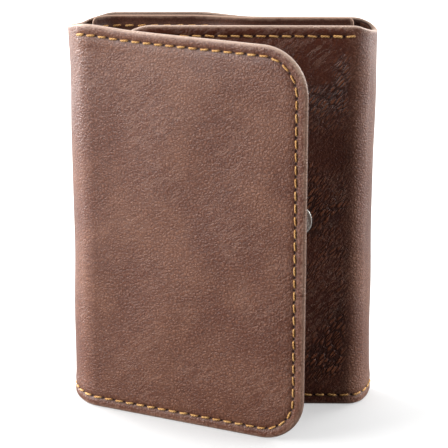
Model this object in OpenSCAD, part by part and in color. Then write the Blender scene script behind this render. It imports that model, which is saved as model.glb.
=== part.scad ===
// Trifold leather wallet, standing on its lower edges with the closing flap a little open.
// The plan is a chain of flat stretches and round folds: back, left fold, flap, and back, right fold, panel.
// Origin: middle of the back panel's lower edge, at mid thickness of its leather. +Z up, +Y to the back.

/* [Overall] */
// Width across the two folds, closed
closed_w = 80; // [67:1:96]
// Height of the wallet
height = 103; // [86:1:124]
// How much lower the top edge runs across the folds
fold_drop = 1.2; // [0:0.1:2.5]

/* [Leather] */
// Thickness of the outer leather
shell_t = 1.4; // [1.1:0.1:1.8]
// Thickness of the inner panels' leather
panel_t = 1.2; // [0.8:0.1:1.6]
// Thickness of the card slots' leather
slot_t = 0.8; // [0.5:0.1:1.0]
// Thickness of the lining
lining_t = 0.5; // [0.3:0.1:0.7]
// Thickness of the flap's stiffener
stiffener_t = 0.5; // [0.3:0.1:0.7]
// Thickness of the clear window film
film_t = 0.3; // [0.2:0.1:0.5]

/* [Left fold] */
// Mid-leather radius of the rear bend
left_rear_r = 3; // [2:0.1:4]
// Turn of the rear bend, degrees
left_rear_turn = 112.5; // [105:0.5:120]
// Flat length between the two bends
left_spine_l = 7.2; // [6:0.1:9]
// Mid-leather radius of the front bend
left_front_r = 6; // [4:0.1:7]
// Angle that the flap stands open from the back panel, degrees
flap_open = 27.75; // [20:0.25:34]

/* [Right fold] */
// Mid-leather radius of the rear bend
right_rear_r = 1.8; // [1.2:0.1:3]
// Turn of the rear bend, degrees
right_rear_turn = 108; // [100:0.5:115]
// Flat length between the two bends
right_spine_l = 7.5; // [7:0.1:9]
// Mid-leather radius of the front bend
right_front_r = 4; // [3:0.1:5]
// Lean of the right panel towards the back, degrees
panel_lean = 0.9; // [0:0.1:1.5]

/* [Flap] */
// How far the flap's edge stops short of the right fold
flap_inset = 12; // [8:0.5:16]
// How far the right panel's free edge stays inside the flap's start
panel_edge_gap = 3.6; // [3:0.1:6]
// Radius of the flap's and the panel's free corners
corner_r = 12; // [6:0.5:16]
// Width of the crease strip beside the fold
crease_w = 3.2; // [2.5:0.1:4]
// Width of the soft bend between crease strip and flap
flap_bend_w = 1.6; // [1.2:0.1:2.4]
// Closing angle that brings the snap together, degrees
closing_turn = 26; // [18:0.5:32]
// Where the flap's inner layers start, from the fold
flap_layers_from = 10; // [8:0.5:14]
// Where the flap's pocket starts, from the fold
flap_pocket_from = 18; // [16:0.5:22]
// Height of the flap's pocket
flap_pocket_h = 72; // [55:1:80]

/* [Bill compartment] */
// How far the inner layers stay in from the left rear bend
stack_in_left = 2.3; // [2:0.1:4]
// How far the inner layers stay in from the right rear bend
stack_in_right = 3.5; // [3:0.1:5]
// Width of each of the two bays
bay_gap = 1.0; // [0.6:0.1:1.4]
// Thickness of the divider between the bays
divider_t = 0.6; // [0.4:0.1:0.8]
// How far the divider's top lies below the edge
divider_drop = 6; // [3:0.5:12]
// Height of the strip that closes the foot of the bays
bay_base_h = 4; // [3:0.5:6]
// Width of the strips that close the ends of the bays
bay_side_w = 3; // [2:0.5:5]
// How far the tops of those strips lie below the edge
bay_side_drop = 18; // [10:1:30]

/* [Card slots] */
// Drop of the rear slot's mouth below the edge
slot_drop = 14; // [10:0.5:18]
// Step from one slot's mouth to the next
slot_step = 12; // [8:0.5:14]
// Margin of the window frame beside the window
window_margin = 10; // [8:0.5:14]
// Margin of the window frame above and below the window
window_foot = 20; // [12:1:28]
// Edge allowance that inner layers keep from the outer leather's edge
edge_allow = 1; // [0.5:0.1:2]

/* [Snap] */
// Distance of the snap from the right panel's fold
stud_from_fold = 14.1; // [13:0.1:18]
// Radius of the stud's flange
flange_r = 4.4; // [3.5:0.1:5]
// Thickness of the stud's flange
flange_t = 0.5; // [0.3:0.1:0.6]
// Radius of the stud
stud_r = 1.9; // [1.5:0.1:2.2]
// Height of the stud above its flange
stud_h = 1.4; // [1.0:0.1:1.6]
// Radius of the socket
socket_r = 5.5; // [5:0.1:6]
// Height of the socket
socket_h = 1.9; // [1.5:0.1:2]
// Thickness of the socket's base
socket_base = 0.4; // [0.3:0.1:0.5]
// Radial room between stud and socket
snap_room = 0.5; // [0.3:0.1:0.7]
// Radius of the rivet barrels that hold the snap
barrel_r = 1.5; // [1.2:0.1:1.8]
// Radial room of a barrel in its hole
barrel_room = 0.1; // [0.05:0.05:0.2]
// Thickness of the cap and rivet heads
head_t = 0.4; // [0.3:0.1:0.5]

/* [Stitching] */
// Distance from one stitch to the next
pitch = 3.27; // [2.8:0.01:4]
// Visible length of one stitch
thread_l = 2.4; // [1.8:0.1:2.6]
// Width of the thread
thread_w = 0.6; // [0.4:0.05:0.8]
// How far the thread stands out of the leather
thread_h = 0.3; // [0.15:0.05:0.4]
// Distance of the stitch rows from the edge
stitch_inset = 2.7; // [2:0.1:4]

/* [Hidden] */
$fn = 64;
// How far a cutting shape runs past the face that it cuts
cut = 1;
// How far two halves of one outline overlap where they join
lap = 0.01;
half_t = shell_t / 2;
fold_h = height - fold_drop;
outer_brown = [0.47, 0.33, 0.28];
inner_brown = [0.27, 0.17, 0.14];
lining_brown = [0.22, 0.14, 0.12];
thread_gold = [0.80, 0.58, 0.25];
steel = [0.75, 0.75, 0.77];

function dir(h) = [cos(h), sin(h)];
function turned(v, a) = [v[0] * cos(a) - v[1] * sin(a), v[0] * sin(a) + v[1] * cos(a)];
function around(p, c, a) = c + turned(p - c, a);

// Left chain: each stretch is a start point and a heading, with the leather's inner side on its left
left_rear_c = [-closed_w / 2 + half_t + left_rear_r, -left_rear_r];
left_head = left_rear_turn - 180;
left_spine_p = left_rear_c + left_rear_r * dir(left_head - 90);
left_front_p = left_spine_p + left_spine_l * dir(left_head);
left_front_c = left_front_p - left_front_r * dir(left_head - 90);
flap_p = left_front_c + left_front_r * dir(-flap_open - 90);
flap_from = crease_w + flap_bend_w;
flap_l = closed_w / 2 - flap_inset - flap_p[0];
flap_pivot = flap_p + (crease_w + flap_bend_w / 2) * dir(-flap_open);

// Right chain: the leather's inner side is on the right of each heading
right_rear_c = [closed_w / 2 - half_t - right_rear_r, -right_rear_r];
right_head = -right_rear_turn;
right_spine_p = right_rear_c + right_rear_r * dir(right_head + 90);
right_front_p = right_spine_p + right_spine_l * dir(right_head);
right_front_c = right_front_p - right_front_r * dir(right_head + 90);
panel_head = -180 - panel_lean;
panel_p = right_front_c + right_front_r * dir(panel_head + 90);
panel_l = panel_p[0] - (flap_p[0] + panel_edge_gap);

// Centre stack, counted forward from the back leather
back_x0 = left_rear_c[0];
back_x1 = right_rear_c[0];
stack_x0 = back_x0 + stack_in_left;
stack_x1 = back_x1 - stack_in_right;
lining_y = -half_t - lining_t;
divider_y = lining_y - bay_gap - divider_t;
bay_y = divider_y - bay_gap;
centre_y = bay_y - panel_t;

// The socket lies over the stud once the flap is closed
stud_foot = panel_p + stud_from_fold * dir(panel_head) + half_t * dir(panel_head + 90);
stud_open = around(stud_foot, flap_pivot, -closing_turn);
snap_s = (stud_open - flap_p) * dir(-flap_open);
snap_z = height / 2;

// A frame on the leather's mid line: x along the heading, y across the leather, z up
module along(p, h) {
    translate([p[0], p[1], 0]) rotate([0, 0, h]) children();
}

// A flat layer from x0 to x1, y0 to y1 and z0 to z1
module layer(x0, x1, y0, y1, z0, z1) {
    translate([x0, y0, z0]) cube([x1 - x0, y1 - y0, z1 - z0]);
}

// An upright layer whose far end has two round corners
module round_layer(x0, x1, y0, y1, z0, z1, r) {
    translate([0, y1, 0]) rotate([90, 0, 0]) linear_extrude(y1 - y0) {
        translate([x0, z0]) square([x1 - r - x0, z1 - z0]);
        translate([x1 - r - lap, z0 + r]) square([r + lap, z1 - z0 - 2 * r]);
        for (z = [z0 + r, z1 - r]) translate([x1 - r, z]) circle(r);
    }
}

// A bend of the outer leather round centre c, from angle a over turn t
module bend(c, r, a, t) {
    translate([c[0], c[1], 0]) rotate([0, 0, a]) rotate_extrude(angle = t)
        translate([r - half_t, 0]) square([shell_t, fold_h]);
}

// A cylinder along y from y0 to y1 at place x and height z
module peg(x, z, r, y0, y1) {
    translate([x, y1, z]) rotate([90, 0, 0]) cylinder(h = y1 - y0, r = r);
}

// One stitch lying on the face y0, with its thread turned by a in the face
module stitch(x, z, a, y0) {
    translate([x, y0, z]) rotate([0, -a, 0]) translate([-thread_l / 2, 0, -thread_w / 2])
        cube([thread_l, thread_h, thread_w]);
}

// A straight row of stitches on the face y0, from x0 to x1 at height z
module stitch_row(x0, x1, z, y0) {
    n = floor((x1 - x0) / pitch);
    for (i = [0 : n - 1]) stitch(x0 + (x1 - x0) * (i + 0.5) / n, z, 0, y0);
}

// Place and direction on a row that runs out along the foot, round the free end and back along the top
function round_row_at(s, x0, x1, r) =
    let (a = x1 - r - x0, q = PI * r / 2, b = height - 2 * (stitch_inset + r))
    let (z0 = stitch_inset, z1 = height - stitch_inset)
    s < a ? [x0 + s, z0, 0] :
    s < a + q ?
        let (t = (s - a) / r * 180 / PI)
        [x1 - r + r * sin(t), z0 + r - r * cos(t), t] :
    s < a + q + b ? [x1, z0 + r + s - a - q, 90] :
    s < a + 2 * q + b ?
        let (t = (s - a - q - b) / r * 180 / PI)
        [x1 - r + r * cos(t), z1 - r + r * sin(t), 90 + t] :
    [x1 - r - (s - a - 2 * q - b), z1, 180];

// Stitches round the free end of a panel whose leather ends at x1
module round_row(x0, x1, y0) {
    r = corner_r - stitch_inset;
    total = 2 * (x1 - stitch_inset - r - x0) + PI * r + height - 2 * corner_r;
    n = floor(total / pitch);
    for (i = [0 : n - 1]) {
        at = round_row_at(total * (i + 0.5) / n, x0, x1 - stitch_inset, r);
        stitch(at[0], at[1], at[2], y0);
    }
}

// The back: outer leather, bill compartment and centre panel

module back_shell() {
    color(outer_brown) layer(back_x0, back_x1, -half_t, half_t, 0, height);
}

module bill_lining() {
    color(lining_brown) layer(stack_x0, stack_x1, lining_y, -half_t, 0, height - edge_allow);
}

module bay_base() {
    color(lining_brown) layer(stack_x0, stack_x1, bay_y, lining_y, 0, bay_base_h);
}

module bay_side(x0) {
    color(lining_brown) layer(x0, x0 + bay_side_w, bay_y, lining_y, bay_base_h, height - bay_side_drop);
}

module bay_side_left() {
    bay_side(stack_x0);
}

module bay_side_right() {
    bay_side(stack_x1 - bay_side_w);
}

module bill_divider() {
    color(lining_brown) layer(stack_x0 + bay_side_w, stack_x1 - bay_side_w, divider_y, divider_y + divider_t,
        bay_base_h, height - divider_drop);
}

module centre_panel() {
    color(inner_brown) layer(stack_x0, stack_x1, centre_y, bay_y, 0, height);
}

// Slot 0 is the rear one with the highest mouth
module card_slot(i) {
    color(inner_brown) layer(stack_x0 + edge_allow, stack_x1 - edge_allow, centre_y - (i + 1) * slot_t,
        centre_y - i * slot_t, edge_allow, height - slot_drop - i * slot_step);
}

module card_slot_upper() {
    card_slot(0);
}

module card_slot_middle() {
    card_slot(1);
}

module card_slot_lower() {
    card_slot(2);
}

module centre_stitching() {
    color(thread_gold) stitch_row(stack_x0 + stitch_inset, stack_x1 - stitch_inset, height - stitch_inset,
        centre_y - thread_h);
}

module back_stitching() {
    color(thread_gold) {
        stitch_row(back_x0, back_x1, stitch_inset, half_t);
        stitch_row(back_x0 + stitch_inset, back_x1 - stitch_inset, height - stitch_inset, half_t);
    }
}

module left_rear_fold() {
    color(outer_brown) bend(left_rear_c, left_rear_r, 90, left_rear_turn);
}

module right_rear_fold() {
    color(outer_brown) bend(right_rear_c, right_rear_r, 90 - right_rear_turn, right_rear_turn);
}

// The left fold's flat stretch

module left_spine_shell() {
    color(outer_brown) along(left_spine_p, left_head) layer(0, left_spine_l, -half_t, half_t, 0, fold_h);
}

module left_spine_lining() {
    color(lining_brown) along(left_spine_p, left_head)
        layer(0, left_spine_l, half_t, half_t + lining_t, edge_allow, fold_h - edge_allow);
}

module left_spine_stitching() {
    color(thread_gold) along(left_spine_p, left_head) stitch_row(0, left_spine_l, stitch_inset, -half_t - thread_h);
}

module left_front_fold() {
    turn_l = -flap_open - left_head;
    color(outer_brown) bend(left_front_c, left_front_r, left_head - 90, turn_l);
}

// The crease strip, which lets the flap hinge on a line of its own beside the fold

module crease_strip() {
    color(outer_brown) along(flap_p, -flap_open) layer(0, crease_w, -half_t, half_t, 0, height);
}

module crease_stitching() {
    color(thread_gold) along(flap_p, -flap_open) for (z = [stitch_inset, height - stitch_inset])
        stitch(crease_w / 2, z, 0, -half_t - thread_h);
}

// The closing flap

module flap_bend() {
    color(outer_brown) along(flap_p, -flap_open) layer(crease_w, flap_from, -half_t, half_t, 0, height);
}

module flap_shell() {
    color(outer_brown) along(flap_p, -flap_open)
        round_layer(flap_from, flap_l, -half_t, half_t, 0, height, corner_r);
}

module flap_stiffener() {
    color(lining_brown) along(flap_p, -flap_open) difference() {
        round_layer(flap_layers_from, flap_l - edge_allow, half_t, half_t + stiffener_t, edge_allow,
            height - edge_allow, corner_r - edge_allow);
        peg(snap_s, snap_z, socket_r + barrel_room, half_t - cut, half_t + stiffener_t + cut);
    }
}

module flap_lining() {
    y0 = half_t + stiffener_t;
    color(lining_brown) along(flap_p, -flap_open) difference() {
        round_layer(flap_layers_from, flap_l - edge_allow, y0, y0 + lining_t, edge_allow,
            height - edge_allow, corner_r - edge_allow);
        peg(snap_s, snap_z, barrel_r + barrel_room, y0 - cut, y0 + lining_t + cut);
    }
}

module flap_pocket() {
    y0 = half_t + stiffener_t + lining_t;
    color(inner_brown) along(flap_p, -flap_open)
        layer(flap_pocket_from, snap_s - socket_r - edge_allow, y0, y0 + slot_t, edge_allow, flap_pocket_h);
}

// The cap is covered by the outer leather and its barrel holds the socket through the lining
module snap_cap() {
    color(steel) along(flap_p, -flap_open) {
        peg(snap_s, snap_z, socket_r, half_t, half_t + stiffener_t);
        peg(snap_s, snap_z, barrel_r, half_t + stiffener_t, half_t + stiffener_t + lining_t);
    }
}

module snap_socket() {
    y0 = half_t + stiffener_t + lining_t;
    color(steel) along(flap_p, -flap_open) difference() {
        peg(snap_s, snap_z, socket_r, y0, y0 + socket_h);
        peg(snap_s, snap_z, stud_r + snap_room, y0 + socket_base, y0 + socket_h + cut);
    }
}

module flap_stitching() {
    color(thread_gold) along(flap_p, -flap_open) round_row(flap_from, flap_l, -half_t - thread_h);
}

// The right fold's flat stretch

module right_spine_shell() {
    color(outer_brown) along(right_spine_p, right_head) layer(0, right_spine_l, -half_t, half_t, 0, fold_h);
}

module right_spine_lining() {
    color(lining_brown) along(right_spine_p, right_head)
        layer(0, right_spine_l, -half_t - lining_t, -half_t, edge_allow, fold_h - edge_allow);
}

module right_spine_stitching() {
    color(thread_gold) along(right_spine_p, right_head) stitch_row(0, right_spine_l, stitch_inset, half_t);
}

module right_front_fold() {
    turn_r = right_head - panel_head;
    color(outer_brown) bend(right_front_c, right_front_r, panel_head + 90, turn_r);
}

// The right panel, folded over the centre

module panel_shell() {
    color(inner_brown) along(panel_p, panel_head) difference() {
        round_layer(0, panel_l, -half_t, half_t, 0, height, corner_r);
        peg(stud_from_fold, snap_z, barrel_r + barrel_room, -half_t - cut, half_t + cut);
    }
}

module panel_lining() {
    y1 = -half_t;
    color(lining_brown) along(panel_p, panel_head) difference() {
        round_layer(edge_allow, panel_l - edge_allow, y1 - lining_t, y1, edge_allow, height - edge_allow,
            corner_r - edge_allow);
        peg(stud_from_fold, snap_z, flange_r + barrel_room, y1 - lining_t - cut, y1 + cut);
    }
}

module window_film() {
    y1 = -half_t - lining_t;
    color([0.8, 0.85, 0.9, 0.5]) along(panel_p, panel_head)
        layer(2 * edge_allow, panel_l - corner_r / 2, y1 - film_t, y1, corner_r / 2, height - corner_r / 2);
}

module window_frame() {
    y1 = -half_t - lining_t - film_t;
    x0 = 2 * edge_allow;
    x1 = panel_l - edge_allow;
    color(inner_brown) along(panel_p, panel_head) difference() {
        round_layer(x0, x1, y1 - slot_t, y1, edge_allow, height - edge_allow, corner_r - edge_allow);
        layer(x0 + window_margin, x1 - window_margin, y1 - slot_t - cut, y1 + cut, window_foot,
            height - window_foot);
    }
}

module snap_stud() {
    color(steel) along(panel_p, panel_head) {
        peg(stud_from_fold, snap_z, flange_r, half_t, half_t + flange_t);
        peg(stud_from_fold, snap_z, stud_r, half_t + flange_t, half_t + flange_t + stud_h);
    }
}

module snap_rivet() {
    color(steel) along(panel_p, panel_head) {
        peg(stud_from_fold, snap_z, flange_r, -half_t - head_t, -half_t);
        peg(stud_from_fold, snap_z, barrel_r, -half_t, half_t);
    }
}

module panel_stitching() {
    color(thread_gold) along(panel_p, panel_head) round_row(0, panel_l, half_t);
}

back_shell();
bill_lining();
bay_base();
bay_side_left();
bay_side_right();
bill_divider();
centre_panel();
card_slot_upper();
card_slot_middle();
card_slot_lower();
centre_stitching();
back_stitching();
left_rear_fold();
right_rear_fold();
left_spine_shell();
left_spine_lining();
left_spine_stitching();
left_front_fold();
crease_strip();
crease_stitching();
flap_bend();
flap_shell();
flap_stiffener();
flap_lining();
flap_pocket();
snap_cap();
snap_socket();
flap_stitching();
right_spine_shell();
right_spine_lining();
right_spine_stitching();
right_front_fold();
panel_shell();
panel_lining();
window_film();
window_frame();
snap_stud();
snap_rivet();
panel_stitching();
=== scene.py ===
import bmesh
import bpy
import numpy as np
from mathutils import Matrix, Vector


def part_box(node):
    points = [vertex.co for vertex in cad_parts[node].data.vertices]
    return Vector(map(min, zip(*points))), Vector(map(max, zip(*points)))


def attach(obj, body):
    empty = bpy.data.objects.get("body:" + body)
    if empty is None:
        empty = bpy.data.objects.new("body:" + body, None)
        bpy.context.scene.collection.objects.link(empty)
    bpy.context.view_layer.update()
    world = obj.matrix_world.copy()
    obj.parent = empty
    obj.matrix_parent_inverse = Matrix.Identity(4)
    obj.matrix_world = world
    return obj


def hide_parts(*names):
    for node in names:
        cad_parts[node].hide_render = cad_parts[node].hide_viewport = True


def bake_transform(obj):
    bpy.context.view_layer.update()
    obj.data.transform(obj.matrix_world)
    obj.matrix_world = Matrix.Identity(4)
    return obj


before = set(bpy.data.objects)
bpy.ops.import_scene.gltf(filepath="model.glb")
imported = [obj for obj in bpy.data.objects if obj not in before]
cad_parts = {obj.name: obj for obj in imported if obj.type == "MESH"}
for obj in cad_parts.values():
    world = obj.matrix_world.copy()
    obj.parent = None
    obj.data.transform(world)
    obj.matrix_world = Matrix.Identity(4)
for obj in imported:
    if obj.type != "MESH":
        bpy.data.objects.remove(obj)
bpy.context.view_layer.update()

# ---------------------------------------------------------------------------------------------
# The outer hide. One waxed brown leather makes the back, wraps round the left fold into the
# closing flap and round the right fold into the inner panel. Its edges are turned and sewn.
# Sizes are millimetres on the hide. A place on it is (run, height, depth): run is counted from the
# middle of the back, positive towards the flap, and depth stands out of the leather's mid line.

MM = 0.001
shell_low, shell_high = (np.array(corner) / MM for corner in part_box("back_shell"))
hide_height = shell_high[2]
hide_t = shell_high[1] - shell_low[1]
left_stretches = [(-shell_low[0], 0), (3 * np.radians(112.5), 112.5), (7.2, 0),
                  (6 * np.radians(39.75), 39.75), (80, 0)]
right_stretches = [(shell_high[0], 0), (1.8 * np.radians(108), -108), (7.5, 0),
                   (4 * np.radians(72.9), -72.9), (80, 0)]
left_ends = np.cumsum([length for length, turn in left_stretches])
right_ends = np.cumsum([length for length, turn in right_stretches])
flap_start, panel_start = left_ends[3], right_ends[3]
flap_length, panel_length = 61.1, 62.99
crease_w, flap_bend_w = 3.2, 1.6
corner_r = 12.0
rim_depth = 12.0
stitch_inset, stitch_pitch = 2.7, 3.27
bend_lap, soft_bend_lap = 1.2, 0.6
stud_from_fold = 14.1


def smooth(value, low, high):
    """Rises from 0 at low to 1 at high along the cubic 3t^2 - 2t^3."""
    t = np.clip((value - low) / (high - low), 0, 1)
    return t * t * (3 - 2 * t)


def fold_plan(run, stretches, heading, side):
    """Plan point and outward direction after a run along flat and round stretches. On a round one
    the heading grows evenly with the run, so the point is the integral of its cosine and sine."""
    starts = np.cumsum([0] + [length for length, turn in stretches[:-1]])
    point, facing = np.zeros((len(run), 2)), np.zeros(len(run))
    here = np.zeros(2)
    for (length, turn), start in zip(stretches, starts):
        u = np.clip(np.append(run - start, length), 0, length)
        a, bend = np.radians(heading), np.radians(turn) / length
        if turn:
            step = np.stack([np.sin(a + bend * u) - np.sin(a), np.cos(a) - np.cos(a + bend * u)], 1) / bend
        else:
            step = u[:, None] * np.array([np.cos(a), np.sin(a)])
        inside = run >= start - 1e-9
        point[inside] = (here + step[:-1])[inside]
        facing[inside] = (a + bend * u[:-1])[inside]
        here, heading = here + step[-1], heading + turn
    out = facing + side * np.pi / 2
    return point, np.stack([np.cos(out), np.sin(out)], 1)


def back_bow(run, share):
    """How far the back leans out at the mouth of the bill pocket: a plateau of 5 mm at the left that
    fades towards the middle and below half height."""
    across = smooth(-run, -35.9, -28) * (1 - smooth(-run, -8, 8))
    return 5.0 * across * smooth(share, 0.45, 1.0) * (np.abs(run) < 36)


top_runs = [-53, -52, -50, -47, -43, -41, -40, -39, -38, -37, -35, -6, 4, 30, 35, 37, 41, 43, 45, 48, 50, 52,
            55, 59, 64, 72]
top_rises = [0, -0.1, -1.0, -1.8, -2.5, -2.8, -2.7, -1.9, -1.1, -0.6, 0.1, 0.3, 0.7, 0.6, -0.3, -1.5, -1.45,
             -1.1, -0.7, -0.1, 0.3, 0.6, 0.6, 0.35, 0.1, 0]


def top_rise(run):
    """How far the hide's top edge rises above the cut height at each run: it sinks where the leather is
    bent round the folds. Straight lines between the rises above, averaged over 2 mm of run."""
    return np.mean([np.interp(run + shift, top_runs, top_rises) for shift in np.linspace(-1, 1, 7)], 0)


def fold_swell(run):
    """How far the flat stretch of each fold swells out, so that both bends run into one round: a raised
    cosine, 0.65 mm high and 13 mm wide on the left, 0.45 mm and 12 mm on the right."""
    left = np.cos(np.clip((run - 46.0) / 6.5, -1, 1) * np.pi / 2) ** 2
    right = np.cos(np.clip((run + 45.0) / 6.0, -1, 1) * np.pi / 2) ** 2
    return 0.65 * left + 0.45 * right


def on_hide(run, height, depth):
    """Place in space, in metres, of points on the hide: the fold plan at the run pushed out by the depth
    and the swell, then the top edge's rise, the flap's twist, the back's bow and the folds' waist."""
    run, height, depth = (np.asarray(v, float).ravel() for v in np.broadcast_arrays(run, height, depth))
    left, left_out = fold_plan(np.abs(run), left_stretches, 180, -1)
    right, right_out = fold_plan(np.abs(run), right_stretches, 0, 1)
    on_left = (run >= 0)[:, None]
    proud = (depth + fold_swell(run))[:, None]
    plan = np.where(on_left, left, right) + proud * np.where(on_left, left_out, right_out)
    height = height + top_rise(run) * smooth(height, hide_height - 16, hide_height)
    share = height / hide_height
    reach = np.where(run > flap_start, run - flap_start, 0)
    plan[:, 1] += back_bow(run, share) - 0.033 * reach ** 2 / (reach + 8) * (2 * share - 1)
    waist = np.where(run > 0, smooth(run, 34, 40) * (1 - smooth(run, 50, 60)),
                     -smooth(-run, 36, 40) * (1 - smooth(-run, 47, 56)))
    plan[:, 0] += waist * (0.5 * np.sin(np.pi * np.clip(share, 0, 1)) - 0.2)
    return np.column_stack([plan, height]) * MM


def edge_section(thickness, out, roll_w=0.5, fine=23):
    """A turned edge from the face round to the inside, as distance in from the edge, depth, and share
    of the face: the flat face, a half ellipse round the edge, and the flat inner side."""
    face = np.concatenate([np.linspace(rim_depth, 6, 8)[:-1], np.linspace(6, roll_w, fine)])
    turn = np.radians(np.linspace(90, -90, 11))[1:-1]
    inner = np.array([roll_w, 1.2, 2.5, 5, 8, rim_depth])
    half = thickness / 2
    inset = np.concatenate([face, roll_w * (1 - np.cos(turn)), inner])
    depth = np.concatenate([0 * face + out, out - half + half * np.sin(turn), 0 * inner + out - thickness])
    outer = np.concatenate([0 * face + 1, np.clip(0.5 + np.sin(turn), 0, 1), 0 * inner])
    return inset, depth, outer


def sewn_share(run, height):
    """1 where an edge carries a stitch row: all along the foot, and along the top of the back, the flap
    and the inner panel, but not over the folds."""
    top = (smooth(run, 49, 50) + smooth(-run, 53, 54)
           + smooth(run, -35, -34) * (1 - smooth(run, 34, 35)))
    return np.where(height > hide_height / 2, top, 1.0)


def hide_waves(run, height):
    """Slow unevenness of a handled hide: crossing sine waves between 20 and 130 mm long."""
    return (0.10 * np.sin(run / 9.1 + height / 15.3 + 0.7) + 0.07 * np.sin(run / 4.7 - height / 6.9 + 2.1)
            + 0.04 * np.sin(run / 3.1 + height / 3.9) + 0.08 * np.sin(height / 8.3 - run / 21 + 1.2))


def face_relief(run, height, inset, walk):
    """How far the sewn face stands out: a soft roll beside the edge, a groove along the stitch row that
    each needle hole pulls deeper, a low swelling inside it, and the hide's slow waves."""
    roll = 0.16 * np.exp(-((inset - 1.35) / 0.75) ** 2)
    pull = 0.5 + 0.5 * np.cos(2 * np.pi * walk / stitch_pitch)
    groove = (0.12 + 0.12 * pull) * np.exp(-((inset - stitch_inset) / 0.5) ** 2)
    swell = 0.13 * np.exp(-((inset - 4.4) / 1.3) ** 2)
    return sewn_share(run, height) * (roll - groove + swell) + hide_waves(run, height) * smooth(inset, 0, 9)


def add_piece(name, points, faces, marks=(), sharp=40):
    """A mesh object from points in metres and faces, with named marks on its points, its doubles
    merged, its open ends capped and its faces turned outwards."""
    mesh = bpy.data.meshes.new(name)
    mesh.from_pydata(points, [], faces)
    for mark, values in dict(marks).items():
        kind, field = ("FLOAT_VECTOR", "vector") if values.ndim == 2 else ("FLOAT", "value")
        layer = mesh.attributes.new(mark, kind, "POINT")
        layer.data.foreach_set(field, values.astype(np.float32).ravel())
    shape = bmesh.new()
    shape.from_mesh(mesh)
    bmesh.ops.remove_doubles(shape, verts=shape.verts, dist=2e-6)
    bmesh.ops.holes_fill(shape, edges=[e for e in shape.edges if e.is_boundary], sides=0)
    bmesh.ops.recalc_face_normals(shape, faces=shape.faces)
    shape.to_mesh(mesh)
    shape.free()
    mesh.shade_smooth()
    mesh.set_sharp_from_angle(angle=np.radians(sharp))
    piece = bpy.data.objects.new(name, mesh)
    bpy.context.scene.collection.objects.link(piece)
    return piece


def grid_faces(rows, columns, first=0, around=False, shut=False):
    """Quads of a grid of rows by columns of points, counted from first. around joins the last column
    to the first, and shut joins the last row to the first."""
    grid = first + np.arange(rows * columns).reshape(rows, columns)
    grid = np.column_stack([grid, grid[:, 0]]) if around else grid
    grid = np.vstack([grid, grid[:1]]) if shut else grid
    return np.stack([grid[:-1, :-1], grid[:-1, 1:], grid[1:, 1:], grid[1:, :-1]], -1).reshape(-1, 4)


def strip_points(run_low, run_high, step, low, high, section, rise=0.6):
    """A stretch of a layer between two cuts: one closed section, down the face, round the foot, up the
    inside and round the top edge, repeated at even runs. Gives run, height, depth, inset and outer."""
    inset, depth, outer = section
    count = int((high - low - 2 * rim_depth) / rise) + 1
    core = np.linspace(high - rim_depth, low + rim_depth, count)[1:-1]
    plain = 0 * core
    height = np.concatenate([(high - inset)[::-1], core, low + inset, core[::-1]])
    deep = np.concatenate([depth[::-1], plain + depth[0], depth, plain + depth[-1]])
    ins = np.concatenate([inset[::-1], plain + rim_depth, inset, plain + rim_depth])
    out = np.concatenate([outer[::-1], plain + 1, outer, plain])
    stations = np.linspace(run_low, run_high, max(2, int(np.ceil((run_high - run_low) / step)) + 1))
    grid = [np.repeat(stations, len(height))] + [np.tile(v, len(stations)) for v in (height, deep, ins, out)]
    return grid, grid_faces(len(stations), len(height), around=True)


def ring_points(inset, x0, x1, z0, z1, r0, r1, counts):
    """Points round a panel at each inset: straight runs between corners whose radius shrinks with the
    inset, so every ring has the same count. Without r0 the ring is open at x0."""
    d = np.atleast_1d(inset)[:, None]
    fx, fz = np.linspace(0, 1, counts[0] + 1)[None], np.linspace(0, 1, counts[1] + 1)[None]
    turn = np.radians(np.linspace(0, 90, 13))[None, 1:-1]
    shut = r0 is not None
    far, near = np.maximum(r1, d), (np.maximum(r0, d) if shut else 0 * d)
    bend = np.maximum(r1 - d, 0)
    left, right = x0 + near, x1 - far
    xs = [left + fx * (right - left), right + bend * np.sin(turn), x1 - d + 0 * fz,
          right + bend * np.cos(turn), right + fx * (left - right)]
    zs = [z1 - d + 0 * fx, z1 - far + bend * np.cos(turn), (z1 - far) + fz * (z0 - z1 + 2 * far),
          z0 + far - bend * np.sin(turn), z0 + d + 0 * fx]
    if shut:
        bend = np.maximum(r0 - d, 0)
        xs += [left - bend * np.sin(turn), x0 + d + 0 * fz, left - bend * np.cos(turn)]
        zs += [z0 + near - bend * np.cos(turn), (z0 + near) + fz * (z1 - z0 - 2 * near),
               z1 - near + bend * np.sin(turn)]
    return np.hstack(xs), np.hstack(zs)


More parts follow.
